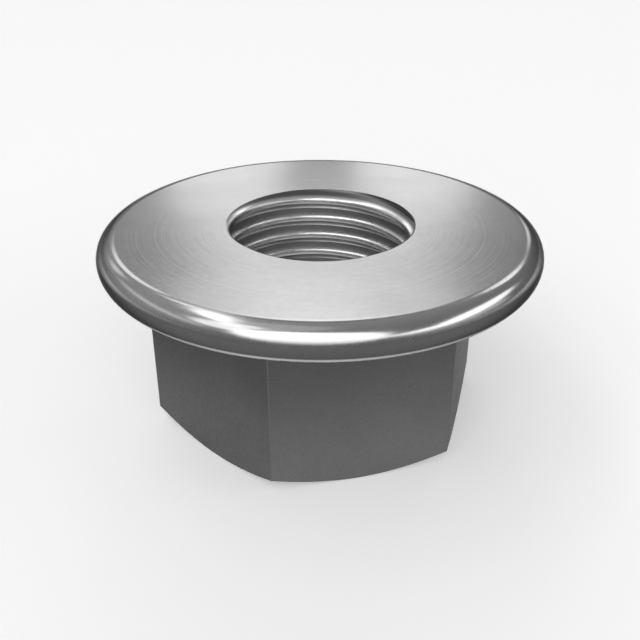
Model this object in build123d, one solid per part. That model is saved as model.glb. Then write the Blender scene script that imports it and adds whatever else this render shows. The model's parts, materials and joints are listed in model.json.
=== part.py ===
from build123d import *
import os
from math import ceil, cos, radians, tan

# Hexagon flange nut with an M10 x 1 fine thread, in millimetres.
# It stands on its hexagon end at z = 0, with the bearing face of the flange on top.
# The thread axis is the z axis, and two flats of the hexagon face +y and -y.

# Overall form
across_flats = 15.0
nut_height = 10.0
flange_diameter = 21.8

# Flange: a full round rim, with a shallow cone from the rim to the hexagon
rim_thickness = 1.8
flange_cone_angle = 20.0

# Hexagon end: a cone takes the six corners off, its circle just inside the flats
corner_chamfer_angle = 30.0
chamfer_circle_inset = 0.05

# Thread: right-hand, ISO profile. It runs out sharp through the bearing face, which the middle
# of the groove reaches at the start angle, and the hexagon end has a countersink just wider
thread_diameter = 10.0
thread_pitch = 1.0
thread_flank_angle = 30.0
thread_start_angle = 73.0
countersink_margin = 0.05
countersink_angle = 120.0

# Standard shares: the profile's full triangle is cut off by a quarter at the crests
# and by an eighth at the roots
hexagon_sides = 6
crest_share = 1 / 4
root_share = 1 / 8

# The long crest is divided by planes through the axis, at these angles from the thread's start
crest_division_angles = (30, 120)
crest_radius_tolerance = 1e-4

# How far a cutting tool reaches past the surface that it cuts
overcut = 1.0

# Worked out from the sizes above
thread_triangle = thread_pitch / 2 / tan(radians(thread_flank_angle))
minor_diameter = thread_diameter - 2 * (1 - crest_share - root_share) * thread_triangle
countersink_diameter = thread_diameter + 2 * countersink_margin
corner_radius = across_flats / 2 / cos(radians(180 / hexagon_sides))
rim_radius = rim_thickness / 2
rim_centre_radius = flange_diameter / 2 - rim_radius
rim_centre_height = nut_height - rim_radius


def on_profile_plane(*points):
    """A straight-sided face on the plane y = 0, through points (radius, height)."""
    return make_face(Plane.XZ * Polyline(*points, close=True))


def hexagon():
    """The prism that the spanner holds, up to the middle of the rim."""
    outline = RegularPolygon(across_flats / 2, hexagon_sides, major_radius=False)
    return extrude(outline, rim_centre_height)


def flange():
    """The round disc: bearing face, full round rim, and the cone that runs in to the hexagon."""
    rim = CenterArc((rim_centre_radius, rim_centre_height), rim_radius, 90, flange_cone_angle - 180)
    cone_start = rim @ 1
    cone_run = cone_start.X - thread_diameter / 2
    cone_end = cone_start - Vector(cone_run, cone_run * tan(radians(flange_cone_angle)))
    inside = Polyline(cone_start, cone_end, (0, cone_end.Y), (0, nut_height), rim @ 0)
    return revolve(make_face(Plane.XZ * (rim + inside)), Axis.Z)


def corner_cutter():
    """A ring with a conical inside that takes the six corners off at the hexagon end."""
    inner = across_flats / 2 - chamfer_circle_inset
    outer = corner_radius + overcut
    rise = (outer - inner) * tan(radians(corner_chamfer_angle))
    ring = on_profile_plane((inner, 0), (outer, rise), (outer, -overcut), (inner, -overcut))
    return revolve(ring, Axis.Z)


def countersink_cutter():
    """A cone that opens the bore's mouth at the hexagon end."""
    slope = tan(radians(countersink_angle / 2))
    tip_height = countersink_diameter / 2 / slope
    far_radius = countersink_diameter / 2 + overcut * slope
    return revolve(on_profile_plane((0, tip_height), (far_radius, -overcut), (0, -overcut)), Axis.Z)


def tap():
    """The bore and the thread's groove as one solid, longer than the nut at both ends."""
    top = thread_diameter / 2
    foot = minor_diameter / 2 - crest_share / 2 * thread_triangle
    half_top = root_share * thread_pitch / 2
    half_foot = half_top + (top - foot) * tan(radians(thread_flank_angle))
    turns_below = ceil((nut_height + overcut) / thread_pitch)
    turns = turns_below + ceil(overcut / thread_pitch)
    start = nut_height - turns_below * thread_pitch
    section = on_profile_plane(
        (foot, start - half_foot), (top, start - half_top),
        (top, start + half_top), (foot, start + half_foot))
    turn = sweep(section, Helix(thread_pitch, thread_pitch, top, center=(0, 0, start)), is_frenet=True)
    groove = [Pos(0, 0, number * thread_pitch) * turn for number in range(turns)]
    core = Cylinder(
        minor_diameter / 2, (turns + 2) * thread_pitch, align=(Align.CENTER, Align.CENTER, Align.MIN))
    core = Pos(0, 0, start - thread_pitch) * core
    return Rot(0, 0, thread_start_angle) * (core + groove)


def is_crest(face):
    """Whether a face is part of the thread's inner cylinder."""
    return (face.geom_type == GeomType.CYLINDER
            and abs(face.radius - minor_diameter / 2) < crest_radius_tolerance)


def divide_crests(nut):
    """Cut the thread's crest into stretches of a quarter turn or less, and close the shell again."""
    faces = []
    for face in nut.faces():
        pieces = [face]
        if is_crest(face):
            for angle in crest_division_angles:
                plane = Plane.XZ.rotated((0, 0, thread_start_angle + angle))
                pieces = [part for piece in pieces for part in piece.split(plane, keep=Keep.ALL)]
        faces += pieces
    return Solid(Shell(faces))


def flange_nut():
    """The whole nut, which is one forged and tapped piece."""
    blank = hexagon() + flange() - corner_cutter() - countersink_cutter()
    return divide_crests(blank - tap())


os.makedirs("parts", exist_ok=True)
export_step(flange_nut(), "parts/flange_nut.step")
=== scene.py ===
import json
import math
from types import SimpleNamespace

import bpy
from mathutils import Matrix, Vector


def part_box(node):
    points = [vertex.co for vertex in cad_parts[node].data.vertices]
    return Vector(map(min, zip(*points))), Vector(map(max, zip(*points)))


# The nut stands on its hexagon end with the flange on top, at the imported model's own place.
# Lamps and camera are placed in metres. The steel's finishes are placed in millimetres.
# A direction is an azimuth and an elevation in degrees, and azimuth 0 is the side of -y.

MM = 0.001

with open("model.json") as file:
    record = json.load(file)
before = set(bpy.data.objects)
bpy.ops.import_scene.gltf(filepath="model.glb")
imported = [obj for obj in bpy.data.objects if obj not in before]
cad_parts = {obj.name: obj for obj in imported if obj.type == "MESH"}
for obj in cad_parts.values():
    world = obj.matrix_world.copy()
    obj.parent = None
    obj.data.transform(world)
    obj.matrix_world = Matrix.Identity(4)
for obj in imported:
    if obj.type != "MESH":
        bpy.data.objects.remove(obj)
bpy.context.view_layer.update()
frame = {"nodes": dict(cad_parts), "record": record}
nut = frame["nodes"]["flange_nut"]
low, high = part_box("flange_nut")
mounts = {mount["name"]: mount for mount in frame["record"]["mounts"]}

CAMERA_AZIMUTH = -15.0
CAMERA_ELEVATION = 28.53
CAMERA_DISTANCE = 44.27 * MM
CAMERA_LENS = 47.45
CAMERA_SENSOR = 36.0
CAMERA_NEAREST = 1 * MM
TARGET_BELOW_FACE = 5.42 * MM

LAMP_DISTANCE = 1200 * MM
SKY_BRIGHT_SIDE = (-130, 35)
SKY_BRIGHTEST = 0.38
SKY_DARKEST = 0.08

FLOOR_HALF_WIDTH = 2.0
FLOOR_GAP = 0.02 * MM
FLOOR_WHITE = 0.80
FLOOR_GLOW = 0.28
FLOOR_ROUGHNESS = 0.9

# The nut's own places in millimetres: the bearing face, the thread, the round rim and the hexagon.
FACE = high.z / MM
CREST_RADIUS = mounts["thread"]["dims"]["r_mm"]
ROOT_RADIUS = 5.0
RIM_RADIUS = 0.9
RIM_CENTRE_RADIUS = high.x / MM - RIM_RADIUS
RIM_MIDDLE = FACE - RIM_RADIUS
RIM_BOTTOM = RIM_MIDDLE - 0.84
HEXAGON_TOP = 7.5

# Heights and radii between which one finish, painted shade or painted highlight goes over into the
# next, start first.
FACE_HEIGHTS = (FACE - 0.03, FACE - 0.01)
TURNED_HEIGHTS = (RIM_MIDDLE + 0.20, RIM_MIDDLE + 0.50)
# The rim's foot carries a painted highlight line between these heights.
RIM_HIGHLIGHT_TOP_HEIGHTS = (RIM_BOTTOM + 0.46, RIM_BOTTOM + 0.32)
RIM_HIGHLIGHT_FOOT_HEIGHTS = (RIM_BOTTOM + 0.12, RIM_BOTTOM + 0.18)
BORE_HEIGHTS = (FACE, FACE - 0.005)
# The thread's first turns below the face get a painted shade ring.
MOUTH_SHADE_HEIGHTS = (FACE - 0.8, FACE - 0.4)
BORE_RADII = (ROOT_RADIUS + 0.04, ROOT_RADIUS + 0.02)
GROOVE_RADII = (CREST_RADIUS + 0.04, CREST_RADIUS + 0.29)
WORN_RADII = (ROOT_RADIUS + 0.2, ROOT_RADIUS + 0.5)
RIM_INSIDE_RADIUS = ROOT_RADIUS + 1.0

# How far inside its edge the bearing face starts to turn down, in millimetres.
RIM_EASING = 0.10

# How much light each finish mirrors, from 0 to 1, and how rough it is, with painted shade and
# painted highlights noted below.
FACE_TONE, TURNED_TONE, TURNED_ROUGHNESS = 0.42, 0.58, 0.18
# The hexagon's tone is partly a duller forged finish and partly painted shade, darkest under the
# flange.
FORGED_AND_SHADED_TONE_AT_END, FORGED_AND_SHADED_TONE_AT_FLANGE, FORGED_ROUGHNESS = 0.185, 0.088, 0.28
# The rim's underside below the turned band is painted shade.
RIM_UNDERSIDE_PAINTED_SHADE = 0.11
# The crests' tone is a painted highlight, lighter than any steel.
CREST_PAINTED_HIGHLIGHT_TONE, CREST_ROUGHNESS = 0.95, 0.22
GROOVE_TONE, GROOVE_ROUGHNESS = 0.58, 0.32
# Painted shade in the thread's mouth.
MOUTH_PAINTED_SHADE_TONE = 0.18
# A painted highlight line along the rim's foot.
RIM_FOOT_PAINTED_HIGHLIGHT = 0.70
WORN_TURNED_TONE = 0.62
WORN_FORGED_TONE = 0.16
FACE_GRAZING_TINT = 0.55
TURNED_GRAZING_TINT = 0.10
FORGED_GRAZING_TINT = 0.30

# How many spots a noise pattern has to a millimetre, and how many finer layers lie on it.
# The drag marks are long because their pattern changes slowly with height.
CLOUD_SCALE, CLOUD_DETAIL = 0.35, 2.0
GRAIN_SCALE, GRAIN_DETAIL = 3.5, 4.0
RING_SCALE, RING_DETAIL = 9.0, 3.0
DRAG_SCALE, DRAG_DETAIL = 5.0, 3.0
DRAG_PACE = (1, 1, 0.06)
PATTERN_LOW, PATTERN_HIGH = 0.3, 0.7

# How far a pattern changes the tone, as a share of it, and the roughness.
CLOUD_TONE_SWING = 0.03
GRAIN_TONE_SWING = 0.02
RING_TONE_SWING = 0.02
FORGED_GRAIN_ROUGHNESS, TURNED_GRAIN_ROUGHNESS = 0.02, 0.006
RING_ROUGHNESS_SWING = 0.015

# How far edges are rounded, and how deep the surface's relief is, all over and as shares of it.
EDGE_ROUNDING = 0.07 * MM
THREAD_ROUNDING = 0.20 * MM
ROUNDING_SAMPLES = 8
RELIEF_DEPTH = 0.004 * MM
HEXAGON_RELIEF, RIM_RELIEF, RING_RELIEF = 1.0, 0.3, 0.1

# How well the rounded and the sharp normal agree where wear starts, and where an edge is all worn.
WEAR_STARTS, WEAR_ENDS = 0.995, 0.93


def direction(azimuth, elevation):
    """The unit vector from the nut to where azimuth and elevation point."""
    a = math.radians(azimuth)
    e = math.radians(elevation)
    return Vector((math.sin(a) * math.cos(e), -math.cos(a) * math.cos(e), math.sin(e)))


def aim(thing, place, target):
    """Put a camera or lamp at place, looking at target."""
    thing.location = place
    thing.rotation_euler = (target - place).to_track_quat("-Z", "Y").to_euler()


def add_camera():
    camera = bpy.data.objects.new("camera", bpy.data.cameras.new("camera"))
    bpy.context.scene.collection.objects.link(camera)
    camera.data.lens = CAMERA_LENS
    camera.data.sensor_width = CAMERA_SENSOR
    camera.data.clip_start = CAMERA_NEAREST
    target = Vector((0, 0, high.z - TARGET_BELOW_FACE))
    aim(camera, target + CAMERA_DISTANCE * direction(CAMERA_AZIMUTH, CAMERA_ELEVATION), target)
    bpy.context.scene.camera = camera


def softbox(name, azimuth, elevation, width, height, brightness):
    """An oval lamp that faces the nut. Its azimuth counts from the camera's, its width and height
    are in degrees as seen from the nut, and its brightness is that of a white surface at 1."""
    lamp = bpy.data.lights.new(name, "AREA")
    lamp.shape = "ELLIPSE"
    lamp.size = 2 * LAMP_DISTANCE * math.tan(math.radians(width / 2))
    lamp.size_y = 2 * LAMP_DISTANCE * math.tan(math.radians(height / 2))
    area = math.pi / 4 * lamp.size * lamp.size_y
    lamp.energy = brightness * area * math.pi
    box = bpy.data.objects.new(name, lamp)
    bpy.context.scene.collection.objects.link(box)
    box.visible_camera = False
    centre = (low + high) / 2
    aim(box, centre + LAMP_DISTANCE * direction(CAMERA_AZIMUTH + azimuth, elevation), centre)


def add_lamps():
    """The lamps from back_light to back_left_patch show in the bearing face.
    The others show in the rim and the thread."""
    softbox("back_light", 180, 36, 25, 28, 0.94)
    softbox("back_middle_light", -179, 38, 13, 24, 0.55)
    softbox("back_top_light", 180, 45, 34, 10, 0.55)
    softbox("back_low_light", 180, 18, 30, 14, 0.48)
    softbox("back_wide_light", 180, 25, 56, 34, 0.14)
    softbox("back_right_patch", 173, 17, 9, 10, 1.6)
    softbox("back_left_patch", -173, 17, 9, 10, 1.6)
    softbox("overhead_light", -55, 74, 34, 34, 0.22)
    softbox("front_light", -5, 31, 68, 56, 1.75)
    softbox("right_light", 87, 26, 48, 16, 1.8)
    softbox("right_low_light", 52, 20, 42, 10, 1.6)
    softbox("right_wide_light", 68, 12, 64, 20, 0.45)
    softbox("back_right_light", 148, 34, 14, 14, 1.7)
    softbox("back_right_low_light", 156, 17, 8, 10, 1.3)
    softbox("left_light", -108, 62, 38, 12, 1.9)
    softbox("front_left_light", -57, 42, 26, 24, 1.2)
    softbox("front_left_high_light", -57, 57, 20, 14, 1.1)
    softbox("left_low_light", -90, 25, 62, 9, 0.42)
    softbox("back_left_light", -150, 50, 14, 14, 1.2)
    softbox("back_left_low_light", -156, 30, 12, 15, 1.6)
    softbox("back_left_patch_low", -136, 25, 10, 12, 0.7)
    softbox("back_left_wide_light", -140, 18, 26, 20, 0.18)


class Nodes:
    """Adds nodes to the node tree of a material or a world."""

    def __init__(self, owner):
        owner.use_nodes = True
        self.tree = owner.node_tree

    def set(self, socket, value):
        """Link a value that is another node's output, and write any other."""
        if isinstance(value, bpy.types.NodeSocket):
            self.tree.links.new(value, socket)
        else:
            socket.default_value = value

    def add(self, kind, inputs=(), output=0, **settings):
        """Add a node, fill its inputs by name or number, and return one of its outputs."""
        node = self.tree.nodes.new(kind)
        for name, value in settings.items():
            setattr(node, name, value)
        for key, value in dict(inputs).items():
            self.set(node.inputs[key], value)
        return node.outputs[output]

    def calculate(self, operation, a, b=0.0):
        return self.add("ShaderNodeMath", {0: a, 1: b}, operation=operation)

    def plus(self, a, b):
        return self.calculate("ADD", a, b)

    def product(self, first, *others):
        for other in others:
            first = self.calculate("MULTIPLY", first, other)
        return first

    def ramp(self, value, start, end, at_start=0.0, at_end=1.0):
        """Go smoothly from at_start to at_end as value goes from start to end."""
        return self.add("ShaderNodeMapRange", {
            "Value": value, "From Min": start, "From Max": end, "To Min": at_start, "To Max": at_end,
        }, interpolation_type="SMOOTHSTEP")

    def blend(self, share, a, b):
        """a where share is 0 and b where it is 1."""
        return self.add("ShaderNodeMix", {"Factor": share, "A": a, "B": b}, data_type="FLOAT")

    def blend_vectors(self, share, a, b):
        """The same for vectors, whose sockets share their names with the ones for numbers."""
        return self.add("ShaderNodeMix", {0: share, 4: a, 5: b}, output=1, data_type="VECTOR")

    def vector(self, operation, a, b=(0, 0, 0)):
        return self.add("ShaderNodeVectorMath", {0: a, 1: b}, operation=operation)

    def vector_value(self, operation, a, b=(0, 0, 0)):
        return self.add("ShaderNodeVectorMath", {0: a, 1: b}, output="Value", operation=operation)

    def scaled(self, vector, scale):
        return self.add("ShaderNodeVectorMath", {0: vector, "Scale": scale}, operation="SCALE")

    def noise(self, vector, scale, detail):
        return self.add("ShaderNodeTexNoise", {"Vector": vector, "Scale": scale, "Detail": detail})

    def ring_noise(self, radius, scale, detail):
        inputs = {"W": radius, "Scale": scale, "Detail": detail}
        return self.add("ShaderNodeTexNoise", inputs, noise_dimensions="1D")


def add_world():
    """A grey sky, brightest at the back left of the camera's view and half way up."""
    world = bpy.data.worlds.new("studio")
    bpy.context.scene.world = world
    nodes = Nodes(world)
    azimuth, elevation = SKY_BRIGHT_SIDE
    towards = direction(CAMERA_AZIMUTH + azimuth, elevation)
    sky = nodes.add("ShaderNodeTexCoord", output="Generated")
    strength = nodes.add("ShaderNodeMapRange", {
        "Value": nodes.vector_value("DOT_PRODUCT", sky, towards),
        "From Min": -1.0, "From Max": 1.0, "To Min": SKY_DARKEST, "To Max": SKY_BRIGHTEST,
    })
    background = world.node_tree.nodes["Background"]
    nodes.set(background.inputs["Color"], (1, 1, 1, 1))
    nodes.set(background.inputs["Strength"], strength)


def floor_material():
    """White paper with a faint glow of its own, so that it looks pale and still takes the shadow."""
    material = bpy.data.materials.new("floor")
    nodes = Nodes(material)
    paper = material.node_tree.nodes["Principled BSDF"]
    nodes.set(paper.inputs["Base Color"], (FLOOR_WHITE, FLOOR_WHITE, FLOOR_WHITE, 1))
    nodes.set(paper.inputs["Roughness"], FLOOR_ROUGHNESS)
    nodes.set(paper.inputs["Specular IOR Level"], 0.0)
    seen = 0.0
    for ray in ("Is Camera Ray", "Is Glossy Ray", "Is Transmission Ray"):
        seen = nodes.calculate("MAXIMUM", seen, nodes.add("ShaderNodeLightPath", output=ray))
    glow = nodes.add("ShaderNodeEmission", {"Strength": nodes.product(seen, FLOOR_GLOW)})
    both = nodes.add("ShaderNodeAddShader", {0: paper.outputs[0], 1: glow})
    nodes.set(material.node_tree.nodes["Material Output"].inputs["Surface"], both)
    return material


def add_floor():
    mesh = bpy.data.meshes.new("floor")
    w = FLOOR_HALF_WIDTH
    mesh.from_pydata([(-w, -w, 0), (w, -w, 0), (w, w, 0), (-w, w, 0)], [], [(0, 1, 2, 3)])
    mesh.materials.append(floor_material())
    floor = bpy.data.objects.new("floor", mesh)
    bpy.context.scene.collection.objects.link(floor)
    floor.location.z = low.z - FLOOR_GAP


def surface_place(nodes):
    """A surface point in millimetres, with its height and its distance from the thread's axis."""
    place = nodes.scaled(nodes.add("ShaderNodeTexCoord", output="Object"), 1 / MM)
    sideways = nodes.vector("MULTIPLY", place, (1, 1, 0))
    return SimpleNamespace(
        place=place,
        outward=nodes.vector("NORMALIZE", sideways),
        radius=nodes.vector_value("LENGTH", sideways),
        height=nodes.add("ShaderNodeSeparateXYZ", {0: place}, output="Z"),
    )


def surface_zones(nodes, at):
    """Which finish, painted shade or painted highlight each point has, as a share from 0 to 1."""
    inside = nodes.ramp(at.radius, *BORE_RADII)
    below_face = nodes.ramp(at.height, *BORE_HEIGHTS)
    # The painted highlight line along the rim's foot lies between these two ramps.
    lower_edge = nodes.ramp(at.height, *RIM_HIGHLIGHT_TOP_HEIGHTS)
    above_cone = nodes.ramp(at.height, *RIM_HIGHLIGHT_FOOT_HEIGHTS)
    return SimpleNamespace(
        bore=nodes.product(inside, below_face),
        groove=nodes.ramp(at.radius, *GROOVE_RADII),
        mouth_shade=nodes.ramp(at.height, *MOUTH_SHADE_HEIGHTS),
        turned=nodes.ramp(at.height, *TURNED_HEIGHTS),
        face=nodes.ramp(at.height, *FACE_HEIGHTS),
        rim_foot_highlight=nodes.product(lower_edge, above_cone),
        rim=nodes.product(
            nodes.calculate("GREATER_THAN", at.height, RIM_BOTTOM),
            nodes.calculate("GREATER_THAN", at.radius, RIM_INSIDE_RADIUS),
        ),
    )


def surface_patterns(nodes, at):
    """Soft clouds, forging grain, the turning tool's rings and the die's marks along the hexagon."""
    lengthwise = nodes.vector("MULTIPLY", at.place, DRAG_PACE)
    return SimpleNamespace(
        cloud=nodes.noise(at.place, CLOUD_SCALE, CLOUD_DETAIL),
        grain=nodes.noise(at.place, GRAIN_SCALE, GRAIN_DETAIL),
        rings=nodes.ring_noise(at.radius, RING_SCALE, RING_DETAIL),
        drag=nodes.noise(lengthwise, DRAG_SCALE, DRAG_DETAIL),
    )


def swing(nodes, pattern, size):
    """A noise pattern as a number from -size to size."""
    return nodes.ramp(pattern, PATTERN_LOW, PATTERN_HIGH, -size, size)


def round_rim_normal(nodes, at):
    """Straight up on the bearing face, and away from the rim's round centre line beyond it.
    The face is eased a little before its edge."""
    beyond = nodes.calculate("SUBTRACT", at.radius, RIM_CENTRE_RADIUS - RIM_EASING)
    beyond = nodes.calculate("MAXIMUM", beyond, 0.0)
    rise = nodes.calculate("SUBTRACT", at.height, RIM_MIDDLE)
    rise = nodes.add("ShaderNodeCombineXYZ", {"Z": rise})
    return nodes.vector("NORMALIZE", nodes.vector("ADD", nodes.scaled(at.outward, beyond), rise))


def edge_wear(nodes, at, rounded):
    """1 on an edge outside the bore, where the rounded normal leaves the sharp one."""
    sharp = nodes.add("ShaderNodeNewGeometry", output="Normal")
    agreement = nodes.vector_value("DOT_PRODUCT", rounded, sharp)
    outside = nodes.ramp(at.radius, *WORN_RADII)
    return nodes.product(nodes.ramp(agreement, WEAR_STARTS, WEAR_ENDS), outside)


def steel_tone(nodes, at, zone, pattern, wear):
    """How much light the steel mirrors, with painted shade on the hexagon towards the flange, on the
    rim's underside and in the thread's mouth, and painted highlights on the rim's foot and the
    thread's crests.
    """
    # Painted shade: the hexagon darkens towards the flange above it.
    forged_with_painted_light = nodes.ramp(at.height, 0.0, HEXAGON_TOP, FORGED_AND_SHADED_TONE_AT_END, FORGED_AND_SHADED_TONE_AT_FLANGE)
    # The rim below the turned band is painted shade, with a painted highlight line near its foot.
    rim = nodes.blend(zone.rim_foot_highlight, RIM_UNDERSIDE_PAINTED_SHADE, RIM_FOOT_PAINTED_HIGHLIGHT)
    forged_with_painted_light = nodes.blend(zone.rim, forged_with_painted_light, rim)
    turned = nodes.blend(zone.face, TURNED_TONE, FACE_TONE)
    outside = nodes.blend(zone.turned, forged_with_painted_light, turned)
    worn = nodes.blend(zone.turned, WORN_FORGED_TONE, WORN_TURNED_TONE)
    outside = nodes.blend(wear, outside, worn)
    # Painted shade: the grooves near the mouth are darkened.
    grooves_and_mouth_shade = nodes.blend(zone.mouth_shade, GROOVE_TONE, MOUTH_PAINTED_SHADE_TONE)
    # Painted highlight: the thread's crests are lightened.
    thread = nodes.blend(zone.groove, CREST_PAINTED_HIGHLIGHT_TONE, grooves_and_mouth_shade)
    return nodes.product(
        nodes.blend(zone.bore, outside, thread),
        nodes.plus(1.0, swing(nodes, pattern.cloud, CLOUD_TONE_SWING)),
        nodes.plus(1.0, swing(nodes, pattern.grain, GRAIN_TONE_SWING)),
        nodes.plus(1.0, nodes.product(zone.face, swing(nodes, pattern.rings, RING_TONE_SWING))),
    )


def steel_roughness(nodes, zone, pattern):
    """Each finish's own roughness, a little uneven from the grain and the turned rings."""
    outside = nodes.blend(zone.turned, FORGED_ROUGHNESS, TURNED_ROUGHNESS)
    thread = nodes.blend(zone.groove, CREST_ROUGHNESS, GROOVE_ROUGHNESS)
    roughness = nodes.blend(zone.bore, outside, thread)
    grain_size = nodes.blend(zone.turned, FORGED_GRAIN_ROUGHNESS, TURNED_GRAIN_ROUGHNESS)
    grain = nodes.product(swing(nodes, pattern.grain, 1.0), grain_size)
    rings = nodes.product(zone.face, swing(nodes, pattern.rings, RING_ROUGHNESS_SWING))
    return nodes.plus(roughness, nodes.plus(grain, rings))


def steel_normal(nodes, at, zone, pattern, rounded):
    """Rounded edges, an exactly round rim, and the relief of grain, drag marks and turned rings."""
    smooth = nodes.blend_vectors(zone.rim, rounded, round_rim_normal(nodes, at))
    turned_relief = nodes.product(pattern.rings, zone.face, RING_RELIEF)
    forged_share = nodes.blend(zone.rim, HEXAGON_RELIEF, RIM_RELIEF)
    forged_relief = nodes.product(nodes.plus(pattern.grain, pattern.drag), forged_share)
    relief = nodes.blend(zone.turned, forged_relief, turned_relief)
    inputs = {"Height": relief, "Distance": RELIEF_DEPTH, "Normal": smooth}
    return nodes.add("ShaderNodeBump", inputs)


def steel():
    """The turned face and upper rim are bright. The hexagon is a duller forged finish, darkened
    further as painted shade that deepens towards the flange. The rim's underside is painted shade
    with a painted highlight line at its foot, and the tapped bore has crests lightened as painted
    highlights, with painted shade in the thread's mouth."""
    material = bpy.data.materials.new("steel")
    nodes = Nodes(material)
    shader = material.node_tree.nodes["Principled BSDF"]
    at = surface_place(nodes)
    zone = surface_zones(nodes, at)
    pattern = surface_patterns(nodes, at)
    rounding = nodes.blend(zone.bore, EDGE_ROUNDING, THREAD_ROUNDING)
    rounded = nodes.add("ShaderNodeBevel", {"Radius": rounding}, samples=ROUNDING_SAMPLES)
    tone = steel_tone(nodes, at, zone, pattern, edge_wear(nodes, at, rounded))
    colour = nodes.add("ShaderNodeCombineColor", {0: tone, 1: tone, 2: tone})
    nodes.set(shader.inputs["Base Color"], colour)
    nodes.set(shader.inputs["Roughness"], steel_roughness(nodes, zone, pattern))
    nodes.set(shader.inputs["Normal"], steel_normal(nodes, at, zone, pattern, rounded))
    nodes.set(shader.inputs["Metallic"], 1.0)
    tint = nodes.blend(zone.face, TURNED_GRAZING_TINT, FACE_GRAZING_TINT)
    tint = nodes.blend(zone.turned, FORGED_GRAZING_TINT, tint)
    tint = nodes.add("ShaderNodeCombineColor", {0: tint, 1: tint, 2: tint})
    nodes.set(shader.inputs["Specular Tint"], tint)
    return material


nut.data.materials[0] = steel()
add_floor()
add_world()
add_lamps()
add_camera()
bpy.context.scene.view_settings.view_transform = "Standard"
